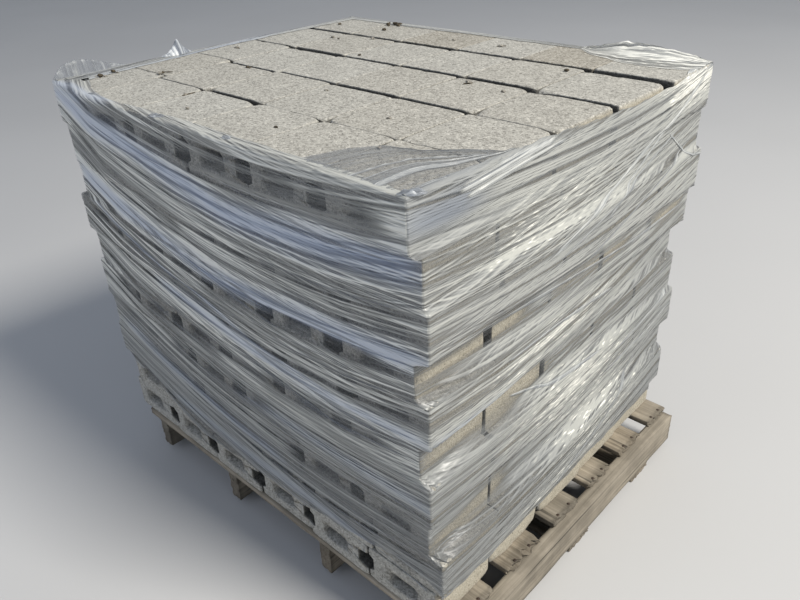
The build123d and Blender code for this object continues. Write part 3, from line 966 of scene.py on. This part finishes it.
def nearFlap():
    # film over the near right corner: rays from a gathered point on the right rim to the near
    # rim, blended from the load's corner, t = 0, to a ragged free edge, t = 1; its creases run
    # along the rays, (1 - |noise|) to the sixth across them with finer ones to the eighth
    look = flapLook["near"]
    edge = np.array(look["edge"])
    t, q = np.linspace(0, 1, 80)[:, None], np.linspace(0, 1, 60)
    knots = np.linspace(0, 1, len(edge))
    ragged = 3 * mm * latticeNoise(vectors(q, 0), 0.03, 3) * np.sin(np.pi * q)
    free = vectors(*[np.interp(q, knots, line) for line in edge.T]) + ragged[:, None]
    straight = edge[0] * (1 - q)[:, None] + np.array(look["corner"]) * q[:, None]
    x, y = np.moveaxis(straight * (1 - t)[..., None] + free * t[..., None], -1, 0)
    sway = t + 0.05 * latticeNoise(vectors(t * 3, q * 4), 1.0, 20)
    wave = latticeNoise(vectors(sway * look["creases"], 0), 0.7, 21)
    fine = latticeNoise(vectors(sway * 26, q), 0.7, 22)
    rims = smoothStep(t, 0, 0.08) * smoothStep(q, 0, 0.10) * smoothStep(1 - q, 0, 0.06)
    ridge = (1 - abs(wave)) ** 6 + 0.5 * (1 - abs(fine)) ** 8
    drop = 3 * mm * (1 - smoothStep(t, 0, 0.03) * smoothStep(1 - q, 0, 0.03))
    z = stackTop + look["off"] + look["crease"] * ridge * rims - drop
    cover = 0.40 + ridge + 0.9 * smoothStep(t, 0.96, 1.0) + 0.8 * (1 - smoothStep(q, 0, 0.15))
    makeFlap("film_flap_near", vectors(x, y, z), flapValues(q * 0.25, sway * 0.30, cover, 0.10))


def hoodFlap():
    # film pulled up off the far right corner: from the outer rim up to a ridge and down in a
    # hanging curve, (1 - q)^1.6, to an inner edge that lies on the blocks
    look = flapLook["hood"]
    x, q = np.linspace(look["x"][0], look["x"][-1], 90)[:, None], np.linspace(0, 1, 44)
    ridge, inner = np.interp(x, look["x"], look["ridge"]) * mm, np.interp(x, look["x"], look["inner"])
    ridge = ridge + 2.5 * mm * latticeNoise(vectors(x, 0), 18 * mm, 4) * smoothStep(ridge, 0, 10 * mm)
    inner = inner + 4 * mm * latticeNoise(vectors(x, 0), 25 * mm, 6)
    up, down = smoothStep(q, 0, look["rise"]), np.clip((q - look["fall"]) / (1 - look["fall"]), 0, 1)
    outer = look["outer"] - 10 * mm
    y = outer + 10 * mm * (1 - up) - (outer - inner) * down
    crease = 1 - abs(latticeNoise(vectors(x * 5, q * 9 + 6 * x), 0.8, 23))
    z = ridge * up * (1 - down) ** 1.6 + look["crease"] * crease ** 3 * np.sin(np.pi * q)
    z = stackTop + 1.4 * mm + z - 9 * mm * (1 - smoothStep(q, 0, 0.15))
    cover = 0.60 + crease ** 5 + 0.9 * np.exp(-((q - 0.25) / 0.07) ** 2) + 0.8 * smoothStep(q, 0.96, 1)
    # a haze of 1.4 paints the hood light
    makeFlap("film_flap_far", vectors(x, y, z), flapValues(x, q * 0.14 + 0.2 * x, cover, 0.05, haze=1.4))


def standingFlap(name, profile, deep, cover, band, haze):
    # a fold that stands on the left rim: at each y it rises to the profile's height and falls
    # again over its depth, high sin(pi q^0.6)^0.8
    y, high = np.array(profile, float).T * mm
    across = np.linspace(y[0], y[-1], 40)
    kernel = np.hanning(5) / np.hanning(5).sum()
    high = np.convolve(np.pad(np.interp(across, y, high), 2, mode="edge"), kernel, mode="valid")
    far, near = reachAt(2, 1.0, stackTop), -reachAt(0, 0.0, stackTop)
    share = (far - across) / (far - near)
    rim = -reachAt(3, share, stackTop + 0 * share) - filmLook["off"]
    across, high, rim, q = across[:, None], high[:, None], rim[:, None], np.linspace(0, 1, 18)
    peak = high / high.max()
    x = rim + deep * mm * q * (0.5 + 0.5 * peak)
    wave = latticeNoise(vectors(across * 150, q * 3), 1.0, 25)
    z = stackTop + 1.5 * mm + high * np.sin(np.pi * q ** 0.6).clip(0) ** 0.8 + 2 * mm * wave * peak
    cover = cover + 0.6 * (1 - abs(wave)) ** 4
    makeFlap(name, vectors(x, across, z), flapValues(q * 0.05, across, cover, band, haze))


def makeTufts():
    # crumpled bits at the near rim: small sheets folded by noise
    parts = []
    for index, (x, y, size, turn) in enumerate(flapLook["tufts"]):
        t, q = np.linspace(-1, 1, 18)[:, None], np.linspace(-1, 1, 14)
        fold = latticeNoise(vectors(t, q) * 1.7, 1.0, 40 + index)
        z = size * (0.08 + 0.35 * abs(fold)) * (1 - t ** 2) * (1 - q ** 2) + 1.6 * mm
        flat = vectors(t * size * (1 - 0.3 * q ** 2), q * size * 0.55 * (1 - 0.4 * t ** 2), z)
        points = turnBy(flat, turn) + (x, y + 0.012, stackTop)
        parts.append((points, gridFaces(points), flapValues(t * size, q * size, 1.1 + 0.3 * fold, 0.2)))
    shape = joinParts(parts)
    makeMesh("film_tufts", shape, film)


nearFlap()
hoodFlap()
for fold in flapLook["standing"]:
    standingFlap(*fold)
makeTufts()
print("film flaps done")


# bits that lie on the blocks

debrisLook = {
    # crumbs: place in mm from the near left corner, size in mm
    "crumbs": [(58, 94, 7), (66, 104, 4), (48, 88, 3), (45, 136, 6), (58, 140, 4), (172, 194, 6),
               (164, 206, 5), (396, 122, 4), (80, 496, 5), (304, 366, 5), (865, 555, 7), (970, 540, 5),
               (985, 765, 5),
               (215, 740, 6), (330, 790, 5), (270, 900, 6), (540, 900, 5), (700, 900, 5), (80, 895, 5),
               (500, 60, 4), (640, 330, 4), (760, 90, 4), (900, 260, 4), (1010, 120, 4), (450, 620, 4)],
    "moss": [(225, 965, 15), (243, 978, 18), (262, 970, 13), (210, 985, 11), (250, 992, 12), (236, 956, 9)],
    "twigs": [(165, 220, 30, 0.6), (865, 552, 26, 1.2), (310, 370, 22, 2.2), (84, 494, 24, 0.1),
              (700, 903, 28, 0.8), (240, 740, 22, 2.6), (396, 130, 40, 1.6), (62, 90, 26, 2.9)],
    "origin": (-0.6239, -0.496), "twigRadius": 1.3 * mm, "twigLift": 1.2 * mm,
    "grit": ("#5E5A50", "#86827A", "#A8A49A"), "plant": ("#2B2822", "#474136", "#6E6250"),
}


def lumpGrid(centre, size, flatness, seed, steps=9):
    # a ball r (cos a cos b, cos a sin b, flatness sin a) roughened by noise, closed at its
    # poles, with each cell split along its other diagonal
    a, b = np.linspace(-np.pi / 2, np.pi / 2, steps)[:, None], np.linspace(0, 2 * np.pi, 10)[:-1]
    ball = vectors(np.cos(a) * np.cos(b), np.cos(a) * np.sin(b), np.sin(a))
    ball[[0, -1]] = ball[[0, -1], :1] * (0, 0, 1)
    radius = size * (1 + 0.45 * latticeNoise(ball * 1.3 + seed, 1.0, seed))
    points = ball * radius[..., None] * (1, 0.8, flatness)
    points[..., 2] -= points[..., 2].min() + 0.4 * mm
    return points + centre, np.roll(gridFaces(points, wrapColumns=True), -1, axis=1), {}


def twigGrid(centre, length, turn, seed):
    # a thin bent tube r (cos b, sin b) round a wavering line, closed on a point at both ends
    t, b = np.linspace(-1, 1, 12), np.linspace(0, 2 * np.pi, 7)[:-1, None]
    bend = length * 0.12 * latticeNoise(vectors(t, 0), 0.6, seed)
    line = turnBy(vectors(t * length / 2, bend, 0), turn) + centre
    radius = debrisLook["twigRadius"] * (1 - t ** 2) ** 0.25
    ring = np.cos(b) * turnBy([0, 1, 0], turn) + np.sin(b) * (0, 0, 1)
    points = line[:, None] + ring * radius[:, None, None] + (0, 0, debrisLook["twigLift"])
    return points, gridFaces(points, wrapColumns=True), {}


def litterMaterial(name, colours):
    # dry bits of plant and grit, dull and uneven, so they read as small dark flecks
    material, add = startNodes(bpy.data.materials.new(name))
    place = add("TexCoord", out="Object")
    mottle = add("TexNoise", {"Vector": place, "Scale": 1 / (3 * mm), "Detail": 3.0})
    colour = add("ValToRGB", {"Fac": mottle}, stops=list(zip((0.3, 0.5, 0.7), colours)))
    bump = add("Bump", {"Strength": 0.8, "Distance": 0.8 * mm, "Height": mottle})
    endMaterial(add, {"Roughness": 0.95, "Specular IOR Level": 0.2, "Base Color": colour, "Normal": bump})
    return material


def makeDebris():
    look = debrisLook
    x0, y0 = look["origin"]
    lumps, plants = [], []
    for index, (u, v, size) in enumerate(look["crumbs"]):
        centre = (x0 + u * mm, y0 + v * mm, stackTop)
        (plants if index % 3 == 0 else lumps).append(lumpGrid(centre, size * mm * 1.15, 0.5, 60 + index))
    for index, (u, v, size) in enumerate(look["moss"]):
        centre = (x0 + u * mm, y0 + v * mm, stackTop)
        plants.append(lumpGrid(centre, size * mm / 2, 0.55, 90 + index, steps=15))
    for index, (u, v, length, turn) in enumerate(look["twigs"]):
        plants.append(twigGrid((x0 + u * mm, y0 + v * mm, stackTop), length * mm, turn, 120 + index))
    grit = litterMaterial("Broken concrete grit", look["grit"])
    plant = litterMaterial("Dry moss and twigs", look["plant"])
    makeMesh("top_crumbs", joinParts(lumps), grit, smooth=False)
    makeMesh("top_moss_and_twigs", joinParts(plants), plant)


makeDebris()


# nail heads in the deck boards

nailLook = {
    "radius": 4.2 * mm, "dome": 0.9 * mm, "lift": 0.1 * mm, "fromEnd": 11 * mm, "shares": (0.28, 0.72),
    "outline": ([0, 0.5, 0.85, 1, 0.9, 0], [1, 0.8, 0.35, 0, -1.5, -1.5]),  # r and z, in radii and domes
    "rust": [(0.35, "#2A2624"), (0.65, "#54453B")],
}


def makeNails():
    # domes turned from one outline, on the boards over each outer stringer, closed underneath
    look = nailLook
    r, z = [np.array(values)[:, None] for values in look["outline"]]
    b = np.linspace(0, 2 * np.pi, 13)[:-1]
    dome = vectors(r * np.cos(b) * look["radius"], r * np.sin(b) * look["radius"], z * look["dome"])
    faces = gridFaces(dome, wrapColumns=True)
    parts = []
    for board in range(1, 7):
        low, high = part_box(f"deck_board_{board}")
        for stringer in (1, 4):
            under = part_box(f"stringer_{stringer}")
            x = min((under[0][0] + under[1][0]) / 2, high[0] - look["fromEnd"])
            for share in look["shares"]:
                y = low[1] + (high[1] - low[1]) * share
                parts.append((dome + (x, y, high[2] + look["lift"]), faces, {}))
    return joinParts(parts)


def nailMaterial():
    # bright steel nails gone rusty outdoors: brown scale with a few dark worn spots
    material, add = startNodes(bpy.data.materials.new("Rusty steel nail heads"))
    place = add("TexCoord", out="Object")
    rust = add("TexNoise", {"Vector": place, "Scale": 1 / (2.5 * mm), "Detail": 3.0})
    colour = add("ValToRGB", {"Fac": rust}, stops=nailLook["rust"])
    endMaterial(add, {"Metallic": 0.6, "Roughness": 0.6, "Base Color": colour})
    return material


makeMesh("deck_nails", makeNails(), nailMaterial())
print("bits and nails done")


# floor, light and camera

stageLook = {
    "floor": [(0.3, "#B4B4B3"), (0.7, "#B8B8B7")], "floorHalf": 12, "floorDrop": 0.4 * mm,
    "backdrop": "#E1E2E3", "sky": "#D6E2F6", "skyStrength": 0.42,
    # each lamp: where it is, where it points, its two sides in m, its power and its colour
    "lamps": {"Key": ((6.5, 1.2, 7.6), (0, 0, 0.7), (2.6, 2.6), 1340, "#FFFAF2"),
              "Fill": ((-1.5, -4.5, 2.6), (0, 0, 0.6), (3, 2.4), 40, "#E6EDFF")},
    # the viewing angle worked out from the joints and layers of the stack
    "camera": {"place": (1.273, -1.2545, 1.552), "heading": 44.22, "down": 30.515, "roll": -2.696,
               "lens": 33.2, "sensor": 36.0, "clip": (0.05, 100)},
}


def floorMaterial():
    # a matt painted studio floor
    material, add = startNodes(bpy.data.materials.new("Pale studio floor"))
    place = add("TexCoord", out="Object")
    soft = add("TexNoise", {"Vector": place, "Scale": 0.6})
    colour = add("ValToRGB", {"Fac": soft}, stops=stageLook["floor"])
    endMaterial(add, {"Roughness": 0.9, "Base Color": colour})
    return material


def makeFloor():
    # it lies under the origin, so its faces are turned over to look up
    across = np.linspace(-stageLook["floorHalf"], stageLook["floorHalf"], 9)
    points = vectors(across[:, None], across, -stageLook["floorDrop"])
    shape = points, gridFaces(points)[:, ::-1], {}
    makeMesh("studio_floor", shape, floorMaterial(), body=None, smooth=False)


def makeWorld():
    world, add = startNodes(bpy.data.worlds.new("Soft studio"))
    bpy.context.scene.world = world
    shown = 0.0
    for ray in ("Is Camera Ray", "Is Glossy Ray", "Is Transmission Ray"):
        shown = add("Math", {0: shown, 1: add("LightPath", out=ray)}, operation="MAXIMUM")
    light = add("Background", {"Color": stageLook["sky"], "Strength": stageLook["skyStrength"]})
    backdrop = add("Background", {"Color": stageLook["backdrop"], "Strength": 1.0})
    add("OutputWorld", {"Surface": add("MixShader", {"Fac": shown, 1: light, 2: backdrop})})


def makeLight(name, place, aim, size, power, colour):
    lamp = bpy.data.lights.new(name, "AREA")
    lamp.shape, lamp.size, lamp.size_y = "RECTANGLE", *size
    lamp.energy, lamp.color = power, toLinear(colour)[:3]
    holder = bpy.data.objects.new(name, lamp)
    holder.location = place
    holder.rotation_euler = (Vector(aim) - Vector(place)).to_track_quat("-Z", "Y").to_euler()
    bpy.context.scene.collection.objects.link(holder)


def makeCamera():
    # a level camera looking along +Y is turned to its heading, tipped down and rolled
    look = stageLook["camera"]
    data = bpy.data.cameras.new("Photo angle")
    data.lens, data.sensor_width = look["lens"], look["sensor"]
    data.dof.use_dof = False
    data.clip_start, data.clip_end = look["clip"]
    camera = bpy.data.objects.new("Photo angle", data)
    turn = Matrix()
    for degrees, axis in ((look["heading"], "Z"), (90 - look["down"], "X"), (look["roll"], "Z")):
        turn = turn @ Matrix.Rotation(np.radians(degrees), 4, axis)
    camera.matrix_world = Matrix.Translation(look["place"]) @ turn
    bpy.context.scene.collection.objects.link(camera)
    bpy.context.scene.camera = camera


makeFloor()
makeWorld()
for name, values in stageLook["lamps"].items():
    makeLight(name, *values)
makeCamera()
bpy.context.scene.view_settings.view_transform = "Standard"
print("stage done")
